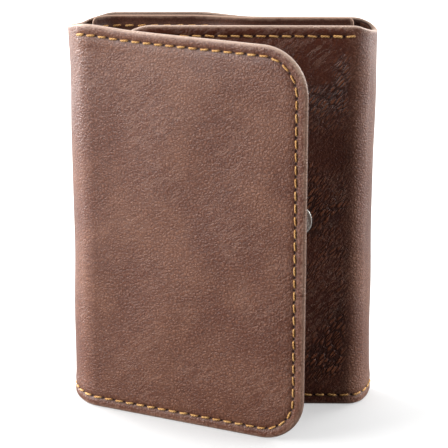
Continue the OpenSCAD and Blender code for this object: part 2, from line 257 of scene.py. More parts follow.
def panel_points(x0, x1, z0, z1, r0, r1, section, step=0.6):
    """A panel with turned edges: rings that run in from the edge on both sides, and a plain grid that
    fills each side inside the last ring. Gives x, z, depth, inset, outer and the ring's length."""
    inset, depth, outer = section
    shut = r0 is not None
    wide, tall = x1 - x0 - rim_depth * (1 + shut), z1 - z0 - 2 * rim_depth
    counts = [max(2, int(wide / step)), max(2, int(tall / step))]
    xs, zs = ring_points(inset, x0, x1, z0, z1, r0, r1, counts)
    row_x, row_z = ring_points(stitch_inset, x0, x1, z0, z1, r0, r1, counts)
    length = np.append(0, np.cumsum(np.hypot(np.diff(row_x[0]), np.diff(row_z[0]))))
    rings, count = xs.shape
    columns = [xs.ravel(), zs.ravel(), np.repeat(depth, count), np.repeat(inset, count),
               np.repeat(outer, count), np.tile(length, rings)]
    faces = [grid_faces(rings, count, around=shut)]
    gx, gz = np.meshgrid(np.linspace(x0 + rim_depth * shut, x1 - rim_depth, counts[0] + 1),
                         np.linspace(z1 - rim_depth, z0 + rim_depth, counts[1] + 1), indexing="ij")
    plain = 0 * gx.ravel()
    for deep, out in ((depth[0], 1.0), (depth[-1], 0.0)):
        faces.append(grid_faces(*gx.shape, first=len(columns[0])))
        extra = [gx.ravel(), gz.ravel(), plain + deep, plain + rim_depth, plain + out, plain]
        columns = [np.concatenate(pair) for pair in zip(columns, extra)]
    return columns, np.concatenate(faces)


def hide_marks(run, height, inset, walk, outer):
    """What the leather's finish reads: the place on the hide, then the distance in from the edge, the
    length along the stitch row and whether the row is sewn, and the share of the face."""
    return {"hide_at": np.column_stack([run, height, 0 * run]), "face": outer,
            "edge": np.column_stack([inset, walk, sewn_share(run, height)])}


def hide_strip(name, run_low, run_high, step):
    """A stretch of the hide between two cuts, sewn along its foot and where the top is sewn."""
    (run, height, depth, inset, outer), faces = strip_points(run_low, run_high, step, 0, hide_height,
                                                             edge_section(hide_t, hide_t / 2))
    depth = depth + face_relief(run, height, inset, run) * outer
    return add_piece(name, on_hide(run, height, depth), faces, hide_marks(run, height, inset, run, outer))


def row_walk(length, start, total):
    """Length along a panel's stitch row, counted from the fold and stretched a little, so that the
    needle holes meet those of the strip beside it at both of the panel's open corners."""
    holes = round((total + 2 * start) / stitch_pitch)
    return start + length * (holes * stitch_pitch - 2 * start) / total


def row_length(start, end):
    """Length of the stitch row round a panel of the hide, between its two open corners."""
    return 2 * (end - start - corner_r) + hide_height - 2 * corner_r + np.pi * (corner_r - stitch_inset)


def hide_panel(name, side, start, end, puff, snap_at):
    """A free panel of the hide with round outer corners, sewn all round and slightly puffed by its
    layers, except where the snap presses it flat. side is 1 towards the flap, -1 towards the panel."""
    (x, height, depth, inset, outer, length), faces = panel_points(
        start, end, 0, hide_height, None, corner_r, edge_section(hide_t, hide_t / 2, fine=19), 0.5)
    run, walk = side * x, row_walk(length, start, row_length(start, end))
    from_snap = np.hypot(x - snap_at, height - hide_height / 2)
    pillow = puff * (0.7 * smooth(inset, 2.4, 7) + 0.3 * smooth(inset, 5, 12))
    pillow = pillow * smooth(x, start, start + 18) * (1 - np.exp(-(from_snap / 6.5) ** 4))
    depth = depth + (face_relief(run, height, inset, walk) + pillow) * outer
    return add_piece(name, on_hide(run, height, depth), faces, hide_marks(run, height, inset, walk, outer))


flap_bend_start = flap_start + crease_w
flap_bend_end = flap_bend_start + flap_bend_w
cuts = {"back_hide": (-right_ends[0] + bend_lap, left_ends[0] - bend_lap),
        "left_rear_hide": (left_ends[0] - bend_lap, left_ends[1] + bend_lap),
        "left_spine_hide": (left_ends[1] + bend_lap, left_ends[2] - bend_lap),
        "left_front_hide": (left_ends[2] - bend_lap, flap_start + bend_lap),
        "crease_hide": (flap_start + bend_lap, flap_bend_start - soft_bend_lap),
        "flap_bend_hide": (flap_bend_start - soft_bend_lap, flap_bend_end + soft_bend_lap),
        "flap_hide": (flap_bend_end + soft_bend_lap, flap_start + flap_length),
        "right_rear_hide": (-right_ends[1] - bend_lap, -right_ends[0] + bend_lap),
        "right_spine_hide": (-right_ends[2] + bend_lap, -right_ends[1] - bend_lap),
        "right_front_hide": (-panel_start - bend_lap, -right_ends[2] + bend_lap),
        "inner_panel_hide": (panel_start + bend_lap, panel_start + panel_length)}
steps = {"back_hide": 0.7, "left_rear_hide": 0.2, "left_front_hide": 0.25, "flap_bend_hide": 0.35,
         "right_rear_hide": 0.12, "right_front_hide": 0.15}
hide = {name: hide_strip(name, low, high, steps.get(name, 0.5)) for name, (low, high) in cuts.items()
        if name not in ("flap_hide", "inner_panel_hide")}
hide["flap_hide"] = hide_panel("flap_hide", 1, *cuts["flap_hide"], 0.6, 0)
hide["inner_panel_hide"] = hide_panel("inner_panel_hide", -1, *cuts["inner_panel_hide"], 0.8,
                                      panel_start + stud_from_fold)

rides = {"back_hide": "back", "left_spine_hide": "left_spine", "crease_hide": "flap_crease",
         "flap_hide": "flap", "right_spine_hide": "right_spine", "inner_panel_hide": "right_panel"}
bends = {"left_rear": ("back", "left_spine", left_ends[0], left_ends[1]),
         "left_front": ("left_spine", "flap_crease", left_ends[2], flap_start),
         "flap_bend": ("flap_crease", "flap", flap_start + crease_w, flap_start + crease_w + flap_bend_w),
         "right_rear": ("back", "right_spine", -right_ends[0], -right_ends[1]),
         "right_front": ("right_spine", "right_panel", -right_ends[2], -panel_start)}


def bend_with(piece, bend):
    """Reads the bend's two bodies and the plan points at the ends of its arc, then bakes the piece's
    placement into its points; the piece is not tied to either body and does not turn with the bend."""
    inner, outer, start, end = bends[bend]
    ends = on_hide([start, end], hide_height / 2, 0)
    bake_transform(piece)


stand_ins = {"back_hide": "back_shell", "left_rear_hide": "left_rear_fold",
             "left_spine_hide": "left_spine_shell", "left_front_hide": "left_front_fold",
             "crease_hide": "crease_strip", "flap_bend_hide": "flap_bend", "flap_hide": "flap_shell",
             "right_rear_hide": "right_rear_fold", "right_spine_hide": "right_spine_shell",
             "right_front_hide": "right_front_fold", "inner_panel_hide": "panel_shell"}
for name, piece in hide.items():
    if name in rides:
        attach(piece, rides[name])
    else:
        bend_with(piece, name.removesuffix("_hide"))
    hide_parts(stand_ins[name])

# Its finish: waxed pull-up leather, mid brown, paler where it has been bent or rubbed, with a fine
# grain and faint creases. Painted shade darkens the needle holes, the inner panel and its wrinkles'
# valleys; painted highlights lighten those wrinkles' ridges and the top edges. The flesh side is plain brown
# suede.


def linear(red, green, blue):
    """A colour from 0 to 255 on the screen as linear light."""
    c = np.array([red, green, blue]) / 255
    return (*np.where(c > 0.04045, ((c + 0.055) / 1.055) ** 2.4, c / 12.92), 1.0)


def add_node(tree, kind, inputs=(), **settings):
    """A shader node with its settings, each named input set to a value or joined to a socket."""
    node = tree.nodes.new(kind)
    for key, value in settings.items():
        setattr(node, key, value)
    for key, value in dict(inputs).items():
        if isinstance(value, bpy.types.NodeSocket):
            tree.links.new(value, node.inputs[key])
        else:
            node.inputs[key].default_value = value
    return node


def maths(tree, operation, *values, clamp=False):
    """The result of a Math node on values or sockets."""
    node = add_node(tree, "ShaderNodeMath", {i: v for i, v in enumerate(values)}, operation=operation)
    node.use_clamp = clamp
    return node.outputs[0]


def ramp(tree, value, low, high, start=0.0, end=1.0):
    """A socket's value carried from low to high smoothly on to start to end."""
    sizes = {"Value": value, "From Min": low, "From Max": high, "To Min": start, "To Max": end}
    return add_node(tree, "ShaderNodeMapRange", sizes, interpolation_type="SMOOTHSTEP").outputs[0]


def mix_colour(tree, share, first, second):
    """The first colour turning into the second as the share rises to 1."""
    node = add_node(tree, "ShaderNodeMix", data_type="RGBA")
    for socket, value in zip((node.inputs[0], node.inputs[6], node.inputs[7]), (share, first, second)):
        if isinstance(value, bpy.types.NodeSocket):
            tree.links.new(value, socket)
        else:
            socket.default_value = value
    return node.outputs[2]


def noise(tree, place, scale, detail=3.0, rough=0.55, twist=0.0):
    """Noise from 0 to 1 at so many features per unit of the place."""
    sizes = {"Vector": place, "Scale": scale, "Detail": detail, "Roughness": rough, "Distortion": twist}
    return add_node(tree, "ShaderNodeTexNoise", sizes).outputs["Fac"]


def new_group(name, inputs, outputs):
    """An empty shader node group with named inputs, each with a kind and a value, and outputs."""
    group = bpy.data.node_groups.new(name, "ShaderNodeTree")
    for socket, (kind, value) in inputs.items():
        made = group.interface.new_socket(socket, in_out="INPUT", socket_type="NodeSocket" + kind)
        if value is not None:
            made.default_value = value
    for socket in outputs:
        group.interface.new_socket(socket, in_out="OUTPUT", socket_type="NodeSocketFloat")
    return group, add_node(group, "NodeGroupInput"), add_node(group, "NodeGroupOutput")


def stretch_place(tree, place, turn, scale):
    """The place turned by so many degrees in its own plane and scaled along the turned axes."""
    turned = add_node(tree, "ShaderNodeVectorRotate", {"Vector": place, "Angle": np.radians(turn)},
                      rotation_type="Z_AXIS")
    scaled = add_node(tree, "ShaderNodeVectorMath", {0: turned.outputs[0], 1: scale}, operation="MULTIPLY")
    return scaled.outputs[0]


# Grain: small pebbles with valleys between, fine hair pores, and soft creases that run one way.
grain, given, made = new_group("leather_grain", {"Place": ("Vector", None), "Pebble": ("Float", 0.8),
                                                 "Crease Turn": ("Float", 0.0)},
                               ("Pebbles", "Pores", "Creases"))
place, pebble = given.outputs["Place"], given.outputs["Pebble"]
wobble = add_node(grain, "ShaderNodeTexNoise", {"Vector": place, "Scale": 0.9, "Detail": 2.0})
moved = add_node(grain, "ShaderNodeVectorMath", {0: wobble.outputs["Color"], 1: (0.9, 0.9, 0.9), 2: place},
                 operation="MULTIPLY_ADD").outputs[0]
per_unit = maths(grain, "DIVIDE", 1.0, pebble)
cells = add_node(grain, "ShaderNodeTexVoronoi", {"Vector": moved, "Scale": per_unit},
                 feature="DISTANCE_TO_EDGE").outputs["Distance"]
grain.links.new(ramp(grain, cells, 0.0, 0.32), made.inputs["Pebbles"])
pores = noise(grain, moved, maths(grain, "MULTIPLY", per_unit, 2.6), 2.0, 0.6)
grain.links.new(ramp(grain, pores, 0.35, 0.7), made.inputs["Pores"])
turned = add_node(grain, "ShaderNodeVectorRotate", {"Vector": moved, "Angle": given.outputs["Crease Turn"]},
                  rotation_type="Z_AXIS").outputs[0]
drawn = add_node(grain, "ShaderNodeVectorMath", {0: turned, 1: (0.10, 0.55, 1.0)},
                 operation="MULTIPLY").outputs[0]
ridges = maths(grain, "ABSOLUTE", maths(grain, "SUBTRACT", noise(grain, drawn, 1.0, 4.0, 0.6, 0.5), 0.5))
where = ramp(grain, noise(grain, place, 0.05, 2.0), 0.42, 0.62)
line = maths(grain, "SUBTRACT", 1.0, ramp(grain, ridges, 0.0, 0.045))
grain.links.new(maths(grain, "MULTIPLY", line, where), made.inputs["Creases"])

# Needle holes: a dot of painted shade at each end of every stitch, and how far the row is pressed in.
needles, given, made = new_group("needle_holes", {"Inset": ("Float", 0.0), "Walk": ("Float", 0.0),
                                                  "Sewn": ("Float", 0.0), "Pitch": ("Float", stitch_pitch),
                                                  "Row": ("Float", stitch_inset)}, ("Hole", "Pressed"))
half_pitch = maths(needles, "DIVIDE", given.outputs["Pitch"], 2.0)
along = maths(needles, "PINGPONG", given.outputs["Walk"], half_pitch)
from_row = maths(needles, "SUBTRACT", given.outputs["Inset"], given.outputs["Row"])
across = maths(needles, "ABSOLUTE", from_row)
apart = maths(needles, "SQRT", maths(needles, "ADD", maths(needles, "POWER", along, 2.0),
                                     maths(needles, "POWER", across, 2.0)))
hole = maths(needles, "SUBTRACT", 1.0, ramp(needles, apart, 0.12, 0.42))
needles.links.new(maths(needles, "MULTIPLY", hole, given.outputs["Sewn"]), made.inputs["Hole"])
pressed = maths(needles, "SUBTRACT", 1.0, ramp(needles, across, 0.25, 1.1))
needles.links.new(maths(needles, "MULTIPLY", pressed, given.outputs["Sewn"]), made.inputs["Pressed"])

# Edge wear: rubbed paler within a millimetre or so of an edge, broken up by noise.
wear, given, made = new_group("edge_wear", {"Place": ("Vector", None), "Inset": ("Float", 0.0),
                                            "Reach": ("Float", 1.6)}, ("Worn",))
broken = noise(wear, given.outputs["Place"], 0.45, 4.0, 0.65)
reach = maths(wear, "MULTIPLY", given.outputs["Reach"], ramp(wear, broken, 0.25, 0.75, 0.35, 1.4))
worn = maths(wear, "SUBTRACT", 1.0, maths(wear, "DIVIDE", given.outputs["Inset"], reach), clamp=True)
wear.links.new(worn, made.inputs["Worn"])


def new_material(name, **plain):
    """A material with its Principled shader's plain sockets set; gives it, its tree and the shader."""
    material = bpy.data.materials.new(name)
    material.use_nodes = True
    shader = material.node_tree.nodes["Principled BSDF"]
    for socket, value in plain.items():
        shader.inputs[socket.replace("_", " ")].default_value = value
    return material, material.node_tree, shader


def add_group(tree, group, inputs):
    """A node group placed in a tree with its inputs set."""
    node = tree.nodes.new("ShaderNodeGroup")
    node.node_tree = group
    for key, value in inputs.items():
        if isinstance(value, bpy.types.NodeSocket):
            tree.links.new(value, node.inputs[key])
        else:
            node.inputs[key].default_value = value
    return node


def set_height(tree, shader, height, distance):
    """Feeds a height from 0 to 1, so many metres tall, to the shader's normal."""
    bump = add_node(tree, "ShaderNodeBump", {"Height": height, "Distance": distance, "Strength": 1.0})
    tree.links.new(bump.outputs[0], shader.inputs["Normal"])


waxed_hide, tree, shader = new_material("waxed_hide", Specular_IOR_Level=0.3, Coat_Roughness=0.36)
at = add_node(tree, "ShaderNodeAttribute", attribute_name="hide_at").outputs["Vector"]
edge = add_node(tree, "ShaderNodeSeparateXYZ", {0: add_node(tree, "ShaderNodeAttribute",
                                                            attribute_name="edge").outputs["Vector"]})
face = add_node(tree, "ShaderNodeAttribute", attribute_name="face").outputs["Fac"]
inset, walk, sewn = edge.outputs
run, high = add_node(tree, "ShaderNodeSeparateXYZ", {0: at}).outputs[:2]
on_panel = ramp(tree, run, -52.0, -56.0)
fine = add_group(tree, grain, {"Place": at, "Pebble": 0.85, "Crease Turn": np.radians(-38)})
holes = add_group(tree, needles, {"Inset": inset, "Walk": walk, "Sewn": sewn})
rubbed = add_group(tree, wear, {"Place": at, "Inset": inset, "Reach": 1.3}).outputs["Worn"]
clouds = noise(tree, at, 0.045, 5.0, 0.6, 0.4)
streaks = noise(tree, stretch_place(tree, at, 62, (0.5, 0.09, 1.0)), 1.0, 5.0, 0.62, 0.6)
flecks = noise(tree, at, 0.55, 4.0, 0.65, 0.3)
colour = mix_colour(tree, ramp(tree, clouds, 0.38, 0.68), linear(102, 61, 46), linear(125, 83, 64))
colour = mix_colour(tree, ramp(tree, streaks, 0.48, 0.75, 0.0, 0.35), colour, linear(130, 80, 54))
colour = mix_colour(tree, ramp(tree, flecks, 0.5, 0.78, 0.0, 0.30), colour, linear(128, 86, 68))
colour = mix_colour(tree, ramp(tree, flecks, 0.45, 0.25, 0.0, 0.35), colour, linear(84, 50, 40))
specks = noise(tree, at, 1.5, 2.0, 0.6)
colour = mix_colour(tree, ramp(tree, specks, 0.5, 0.68, 0.0, 0.45), colour, linear(152, 106, 84))
colour = mix_colour(tree, ramp(tree, specks, 0.48, 0.32, 0.0, 0.45), colour, linear(76, 42, 31))
valleys = ramp(tree, fine.outputs["Pebbles"], 0.75, 0.0, 0.0, 0.42)
colour = mix_colour(tree, valleys, colour, linear(72, 40, 29))
# Painted shade: the inner panel, which lies in the flap's shade, is given a darker, redder tone.
colour = mix_colour(tree, maths(tree, "MULTIPLY", on_panel, 0.74), colour, linear(80, 31, 14))
drawn = stretch_place(tree, at, -52, (0.5, 1.7, 1.0))
wrinkles = add_group(tree, grain, {"Place": drawn, "Pebble": 1.35}).outputs["Pebbles"]
gathered = maths(tree, "MULTIPLY", on_panel, ramp(tree, noise(tree, at, 0.06, 2.0), 0.36, 0.6, 0.15, 1.0))
gathered = maths(tree, "MULTIPLY", gathered, ramp(tree, inset, 3.0, 9.0, 0.2, 1.0))
# Painted highlight on the ridges of the inner panel's wrinkles, and painted shade in their valleys.
ridge_highlight = maths(tree, "MULTIPLY", ramp(tree, wrinkles, 0.55, 1.0), gathered)
valley_shade = maths(tree, "MULTIPLY", ramp(tree, wrinkles, 0.5, 0.0), gathered)
colour = mix_colour(tree, maths(tree, "MULTIPLY", ridge_highlight, 0.75), colour, linear(142, 84, 55))
colour = mix_colour(tree, maths(tree, "MULTIPLY", valley_shade, 0.65), colour, linear(38, 17, 10))
creased = maths(tree, "MULTIPLY", fine.outputs["Creases"], ramp(tree, on_panel, 0.0, 1.0, 0.42, 0.6))
colour = mix_colour(tree, creased, colour, linear(146, 106, 88))
pressed = maths(tree, "MULTIPLY", holes.outputs["Pressed"], 0.30)
colour = mix_colour(tree, pressed, colour, linear(66, 40, 32))
colour = mix_colour(tree, maths(tree, "MULTIPLY", rubbed, 0.6), colour, linear(178, 144, 125))
# Painted shade: the needle holes darkened almost to black.
colour = mix_colour(tree, maths(tree, "MULTIPLY", holes.outputs["Hole"], 0.92), colour, linear(24, 11, 6))
colour = mix_colour(tree, maths(tree, "SUBTRACT", 1.0, face), colour, linear(62, 38, 30))
# Painted highlight: the top edges paler, where light from above catches them at a grazing angle.
top_rim_highlight = maths(tree, "MULTIPLY", ramp(tree, high, 92.0, 98.0), ramp(tree, inset, 0.8, 0.2, 0.0, 0.55))
colour = mix_colour(tree, top_rim_highlight, colour, linear(188, 162, 144))
tree.links.new(colour, shader.inputs["Base Color"])
gloss = maths(tree, "ADD", ramp(tree, clouds, 0.3, 0.7, 0.38, 0.48),
              maths(tree, "MULTIPLY", fine.outputs["Pores"], -0.06))
gloss = maths(tree, "ADD", gloss, maths(tree, "MULTIPLY", holes.outputs["Hole"], 0.4))
gloss = maths(tree, "MAXIMUM", gloss, ramp(tree, face, 1.0, 0.0, 0.0, 0.85))
tree.links.new(gloss, shader.inputs["Roughness"])
coat = maths(tree, "MULTIPLY", ramp(tree, streaks, 0.35, 0.7, 0.08, 0.24),
             ramp(tree, on_panel, 0.0, 1.0, 1.0, 0.35))
tree.links.new(coat, shader.inputs["Coat Weight"])
height = maths(tree, "MULTIPLY", fine.outputs["Pebbles"], 0.75)
height = maths(tree, "MULTIPLY_ADD", fine.outputs["Pores"], 0.35, height)
height = maths(tree, "MULTIPLY_ADD", fine.outputs["Creases"],
               ramp(tree, on_panel, 0.0, 1.0, -0.4, -0.9), height)
height = maths(tree, "MULTIPLY_ADD", flecks, 0.45, height)
height = maths(tree, "MULTIPLY_ADD", specks, 0.45, height)
height = maths(tree, "MULTIPLY_ADD", wrinkles, maths(tree, "MULTIPLY", gathered, 3.4), height)
height = maths(tree, "MULTIPLY_ADD", holes.outputs["Hole"], -1.6, height)
set_height(tree, shader, height, 0.000095)
for piece in hide.values():
    piece.data.materials.append(waxed_hide)

# ---------------------------------------------------------------------------------------------
# The stitching. Waxed golden thread, about 0.6 mm thick, sewn in a locked row 2.7 mm in from the
# edge. Each stitch sinks into a needle hole at both ends and lies slightly askew; the rows run
# round the flap and the inner panel, along the whole foot and over both folds.

thread_r = 0.28
thread_l = 2.6
thread_sides, thread_rings = 7, 9


def stitches(name, owner, centres, bearings, place, out, slant=5.0, big=()):
    """A row of stitches as one mesh. Each is a tube along a bow that rises from under the face, by
    one less the fourth power of the way along it, and narrows where it goes down its holes."""
    centres, bearings = np.asarray(centres, float), np.radians(np.asarray(bearings, float) + slant)
    way = np.linspace(-1, 1, thread_rings)[None, :, None]
    round_it = np.linspace(0, 2 * np.pi, thread_sides, endpoint=False)[None, None, :]
    size = np.ones(len(centres))
    size[list(big)] = 1.35
    size = size[:, None, None]
    lean = 0.35 * np.sin(np.arange(len(centres)) * 2.4)[:, None, None]
    radius = thread_r * size * (1 - 0.32 * way ** 8)
    u = way * thread_l / 2 + 0 * round_it
    v = radius * np.cos(round_it) + 0.05 * lean * way
    bearing = bearings[:, None, None] + 0.09 * lean
    x = centres[:, 0, None, None] + u * np.cos(bearing) - v * np.sin(bearing)
    z = centres[:, 1, None, None] + u * np.sin(bearing) + v * np.cos(bearing)
    deep = out - 0.30 + 0.34 * size * (1 - way ** 4) - 0.30 * way ** 8 + radius * np.sin(round_it)
    points = place(x.ravel(), z.ravel(), deep.ravel())
    per = thread_rings * thread_sides
    tube = grid_faces(thread_rings, thread_sides, around=True)
    faces = (tube[None] + per * np.arange(len(centres))[:, None, None]).reshape(-1, 4)
    ends = np.array([np.arange(thread_sides)[::-1], np.arange(per - thread_sides, per)])
    caps = (ends[None] + per * np.arange(len(centres))[:, None, None]).reshape(-1, thread_sides)
    turn = np.stack([np.broadcast_to(way * thread_l / 2, x.shape), np.cos(round_it) + 0 * x,
                     np.sin(round_it) + 0 * x], -1).reshape(-1, 3)
    piece = add_piece(name, points, faces.tolist() + caps.tolist(), {"ply": turn}, 60)
    piece.data.materials.append(waxed_thread)
    if owner in bends:
        bend_with(piece, owner)
    else:
        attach(piece, owner)
    return piece


waxed_thread, tree, shader = new_material("waxed_thread", Specular_IOR_Level=0.35)
ply = add_node(tree, "ShaderNodeAttribute", attribute_name="ply").outputs["Vector"]
parts = add_node(tree, "ShaderNodeSeparateXYZ", {0: ply})
angle = maths(tree, "ARCTAN2", parts.outputs[2], parts.outputs[1])
phase = maths(tree, "MULTIPLY_ADD", parts.outputs[0], 9.0, maths(tree, "MULTIPLY", angle, 3.0))
strand = maths(tree, "MULTIPLY_ADD", maths(tree, "SINE", phase), 0.5, 0.5)
grease = noise(tree, add_node(tree, "ShaderNodeTexCoord").outputs["Object"], 420.0, 3.0)
colour = mix_colour(tree, strand, linear(160, 108, 54), linear(222, 170, 102))
colour = mix_colour(tree, ramp(tree, grease, 0.35, 0.7, 0.0, 0.35), colour, linear(238, 198, 134))
# Painted shade: the thread darker at both ends, where it sinks into its needle holes.
colour = mix_colour(tree, ramp(tree, maths(tree, "ABSOLUTE", parts.outputs[0]), 1.0, 1.4, 0.0, 0.6), colour,
                    linear(88, 50, 20))
tree.links.new(colour, shader.inputs["Base Color"])
tree.links.new(ramp(tree, grease, 0.3, 0.7, 0.55, 0.72), shader.inputs["Roughness"])
set_height(tree, shader, strand, 0.00009)


def row_on_strip(name, owner, low, high, tops):
    """The stitches between two cuts of a strip, at the foot and at the given stretches of the top; on
    the hide they stand half way between multiples of the pitch. The first one over the flap is sewn
    twice, so it is thicker."""
    half_way = (np.arange(-40, 40) + 0.5) * stitch_pitch
    foot = half_way[(half_way >= low) & (half_way < high)]
    centres = [(s, stitch_inset) for s in foot]
    bearings = [0.0 if low < 0 and high <= 0 else 180.0] * len(foot)
    doubled = []
    for start, end in tops:
        top = foot[(foot >= start) & (foot < end)]
        if start > 0 and len(top) and top[0] < start + stitch_pitch:
            doubled = [len(centres)]
        centres += [(s, hide_height - stitch_inset) for s in top]
        bearings += [0.0] * len(top)
    if not centres:
        return None
    lift = hide_t / 2 + np.mean(hide_waves(np.array(foot), stitch_inset)) * 0.2
    return stitches(name, owner, centres, bearings, on_hide, lift, big=doubled)


sewn_tops = [(-35.0, 34.0), (49.0, 200.0), (-200.0, -53.0)]
foot_pieces = {"back_stitches": ("back_hide", "back", "back_stitching"),
               "left_rear_stitches": ("left_rear_hide", "left_rear", None),
               "left_spine_stitches": ("left_spine_hide", "left_spine", "left_spine_stitching"),
               "left_front_stitches": ("left_front_hide", "left_front", None),
               "crease_stitches": ("crease_hide", "flap_crease", "crease_stitching"),
               "flap_bend_stitches": ("flap_bend_hide", "flap_bend", None),
               "right_rear_stitches": ("right_rear_hide", "right_rear", None),
               "right_spine_stitches": ("right_spine_hide", "right_spine", "right_spine_stitching"),
               "right_front_stitches": ("right_front_hide", "right_front", None)}
for name, (cut, owner, node) in foot_pieces.items():
    piece = row_on_strip(name, owner, *cuts[cut], sewn_tops)
    if piece and node:
        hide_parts(node)
    elif node:
        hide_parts(node)


def row_on_panel(name, owner, side, start, end, node, big):
    """The stitches round a panel of the hide, evenly spaced along the row's own length, which is
    turned back from the stretched length that the needle holes are counted in."""
    total = row_length(start, end)
    scale = row_walk(1.0, start, total) - start
    counts = [400, 400]
    x, z = (v[0] for v in ring_points(stitch_inset, start, end, 0, hide_height, None, corner_r, counts))
    length = np.append(0, np.cumsum(np.hypot(np.diff(x), np.diff(z))))
    centres = (np.arange(0, 200) + 0.5) * stitch_pitch
    centres = (centres[centres >= start] - start) / scale
    centres = centres[centres < total]
    cx, cz = np.interp(centres, length, x), np.interp(centres, length, z)
    step = 0.5
    ahead, behind = centres + step, centres - step
    dx = np.interp(ahead, length, x) - np.interp(behind, length, x)
    dz = np.interp(ahead, length, z) - np.interp(behind, length, z)
    bearing = np.degrees(np.arctan2(dz, side * dx))
    piece = stitches(name, owner, np.column_stack([side * cx, cz]), bearing, on_hide, hide_t / 2,
                     5.0 * side, big)
    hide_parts(node)
    return piece


row_on_panel("flap_stitches", "flap", 1, *cuts["flap_hide"], "flap_stitching", ())
row_on_panel("inner_panel_stitches", "right_panel", -1, *cuts["inner_panel_hide"], "panel_stitching", (0,))

# ---------------------------------------------------------------------------------------------
# The linings of the folds, the flap and the inner panel. Thin split leather with a short nap,
# pasted to the inside of the hide; on the flap it also covers the stiffener.

lining_t, fold_lining_t, lining_edge = 0.5, 0.35, 1.0
flap_layers_from = 10.0
nap_hide, tree, shader = new_material("nap_hide", Roughness=0.92, Specular_IOR_Level=0.2)
spot = add_node(tree, "ShaderNodeTexCoord").outputs["Object"]
nap = noise(tree, spot, 900.0, 4.0, 0.7)
drift = noise(tree, spot, 60.0, 3.0)
colour = mix_colour(tree, ramp(tree, nap, 0.3, 0.72), linear(58, 34, 26), linear(98, 63, 48))
colour = mix_colour(tree, ramp(tree, drift, 0.35, 0.7, 0.0, 0.4), colour, linear(112, 76, 60))
tree.links.new(colour, shader.inputs["Base Color"])
set_height(tree, shader, nap, 0.00012)


def fold_lining(name, low, high, step, owner):
    """The lining of one stretch of the folds, on the inner side of the hide."""
    (run, height, depth, inset, outer), faces = strip_points(
        low, high, step, lining_edge, hide_height - lining_edge,
        edge_section(fold_lining_t, -hide_t / 2, 0.2, 3), 2.0)
    piece = add_piece(name, on_hide(run, height, depth), faces)
    piece.data.materials.append(nap_hide)
    if owner in bends:
        bend_with(piece, owner)
    else:
        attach(piece, owner)
    return piece


lining_lap = 1.8
fold_lining("left_rear_lining", left_ends[0] - lining_lap, left_ends[1] + lining_lap, 0.3, "left_rear")
spine = fold_lining("left_spine_skin", left_ends[1] + lining_lap, left_ends[2] - lining_lap, 1.0,
                    "left_spine")
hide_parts("left_spine_lining")
fold_lining("left_front_lining", left_ends[2] - lining_lap, flap_start + bend_lap, 0.3, "left_front")
fold_lining("crease_lining", *cuts["crease_hide"], 0.7, "flap_crease")
fold_lining("flap_bend_lining", *cuts["flap_bend_hide"], 0.4, "flap_bend")
fold_lining("right_rear_lining", -right_ends[1] - lining_lap, -right_ends[0] + lining_lap, 0.2, "right_rear")
spine = fold_lining("right_spine_skin", -right_ends[2] + lining_lap, -right_ends[1] - lining_lap, 1.0,
                    "right_spine")
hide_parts("right_spine_lining")
fold_lining("right_front_lining", -panel_start - bend_lap, -right_ends[2] + lining_lap, 0.2, "right_front")


def panel_lining(name, owner, side, cut, thick_at, nodes):
    """The lining of a free panel, with thickness given by a function of the run from the fold."""
    start, end = cut
    (x, height, depth, inset, outer, length), faces = panel_points(
        start, end - lining_edge, lining_edge, hide_height - lining_edge, None, corner_r - lining_edge,
        edge_section(1.0, 0.0, 0.3, 5), 1.2)
    depth = -hide_t / 2 + depth * thick_at(x) * smooth(inset, -0.6, 0.5)
    piece = add_piece(name, on_hide(side * x, height, depth), faces)
    piece.data.materials.append(nap_hide)
    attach(piece, owner)
    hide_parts(*nodes)


layer_step = flap_start + flap_layers_from
panel_lining("flap_inside", "flap", 1, cuts["flap_hide"],
             lambda x: fold_lining_t + 0.65 * smooth(x, layer_step - 1, layer_step + 1.5),
             ("flap_lining", "flap_stiffener"))
panel_lining("inner_panel_inside", "right_panel", -1, cuts["inner_panel_hide"],
             lambda x: fold_lining_t + 0.15 * smooth(x, panel_start + 1.2, panel_start + 4),
             ("panel_lining",))

# ---------------------------------------------------------------------------------------------
# The inner leathers: centre panel, three card slots, the flap's pocket and the window frame. Thin
# brown leather with turned top edges and a creased line beside them. The empty bill pocket lets
# the centre lean back until its top rests against the back.

slot_t = 0.8
stack = {name: [np.array(corner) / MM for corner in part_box(name)]
         for name in ("centre_panel", "card_slot_upper", "card_slot_middle", "card_slot_lower")}


def stack_lean(x, height):
    """How far the centre leans back at a place: 2.3 mm at the top, fading by half height, and more at
    the left, where it follows three quarters of the back's bow."""
    share = height / hide_height
    return 2.3 * smooth(share, 0.42, 1.0) + 0.75 * back_bow(-x, share)


def on_stack(x, height, depth):
    """Place in space of points on the centre's layers, with depth counted forward from the back."""
    return np.column_stack([x, stack_lean(x, height) - depth, height + 0.4 * smooth(height, 90, 103)]) * MM


inner_hide, tree, shader = new_material("inner_hide", Specular_IOR_Level=0.4)
at = add_node(tree, "ShaderNodeAttribute", attribute_name="hide_at").outputs["Vector"]
edge = add_node(tree, "ShaderNodeAttribute", attribute_name="edge").outputs["Vector"]
inset = add_node(tree, "ShaderNodeSeparateXYZ", {0: edge}).outputs[0]
fine = add_group(tree, grain, {"Place": at, "Pebble": 0.7, "Crease Turn": np.radians(20)})
rubbed = add_group(tree, wear, {"Place": at, "Inset": inset, "Reach": 0.9}).outputs["Worn"]
clouds = noise(tree, at, 0.07, 4.0, 0.6)
colour = mix_colour(tree, ramp(tree, clouds, 0.35, 0.7), linear(84, 51, 39), linear(104, 66, 51))
valleys = ramp(tree, fine.outputs["Pebbles"], 0.6, 0.0, 0.0, 0.5)
colour = mix_colour(tree, valleys, colour, linear(56, 33, 26))
colour = mix_colour(tree, maths(tree, "MULTIPLY", rubbed, 0.8), colour, linear(168, 138, 118))
tree.links.new(colour, shader.inputs["Base Color"])
